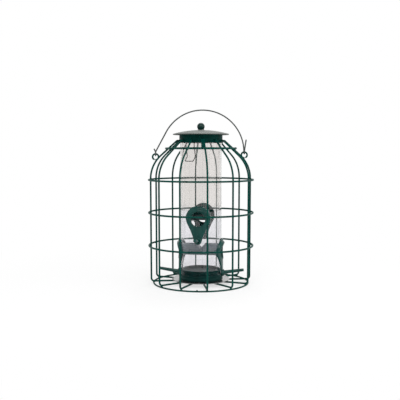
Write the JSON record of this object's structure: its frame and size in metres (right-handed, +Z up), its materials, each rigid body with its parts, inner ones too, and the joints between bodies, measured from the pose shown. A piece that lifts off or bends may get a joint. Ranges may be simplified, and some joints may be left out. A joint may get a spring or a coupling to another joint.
{
  "type": "caged bird feeder",
  "caption": "Squirrel-proof seed feeder for small birds: a clear seed tube with ports and perches in a domed wire cage, with a lift-off lid and a hanging bail.",
  "frame": {"origin": "on the cage's axis, on the surface that the bottom ring stands on", "axes": "+Z up along the seed tube, -Y the front, +X the right as seen from the front"},
  "size_m": [0.1734, 0.1734, 0.2834],
  "materials": {
    "green_paint": "glossy dark green powder coat over steel wire",
    "lid_paint": "satin dark green paint on pressed steel",
    "bail_wire": "thin green coat over spring wire",
    "green_plastic": "moulded dark green plastic, semi-gloss",
    "clear_plastic": "clear extruded tube",
    "zinc_steel": "bright zinc-plated steel",
    "spring_steel": "bright spring wire"
  },
  "bodies": {
    "cage": {"cage_wire_01": "green_paint", "cage_wire_02": "green_paint", "cage_wire_03": "green_paint", "cage_wire_04": "green_paint", "cage_wire_05": "green_paint", "cage_wire_06": "green_paint", "cage_wire_07": "green_paint", "cage_wire_08": "green_paint", "cage_wire_09": "green_paint", "cage_wire_10": "green_paint", "cage_wire_11": "green_paint", "cage_wire_12": "green_paint", "lower_ring": "green_paint", "middle_ring": "green_paint", "upper_ring": "green_paint", "dome_ring": "green_paint", "bottom_ring": "green_paint", "eye_right": "green_paint", "eye_left": "green_paint", "collar": "green_paint", "base_plate": "zinc_steel", "seed_tube": "clear_plastic", "base_cup": "green_plastic", "port_upper_front": "green_plastic", "perch_upper_front": "green_plastic", "port_upper_rear": "green_plastic", "perch_upper_rear": "green_plastic", "port_lower_right": "green_plastic", "perch_lower_right": "green_plastic", "port_lower_left": "green_plastic", "perch_lower_left": "green_plastic", "base_washer": "zinc_steel", "base_screw": "zinc_steel"},
    "lid": {"lid": "lid_paint", "knob": "green_plastic", "lid_clip": "spring_steel", "lid_washer": "zinc_steel", "knob_screw": "zinc_steel"},
    "bail": {"bail_handle": "bail_wire"}
  },
  "joints": [
    {"name": "lid_lift", "type": "slide", "parent": "cage", "child": "lid", "axis": [0, 0, 1], "range_m": [0, 0.015]},
    {"name": "bail_swing", "type": "hinge", "parent": "cage", "child": "bail", "pos_m": [-0.00135, -0.00267, 0.21199], "axis": [0.9998, 0, 0.0209], "range_deg": [-80, 80]}
  ]
}
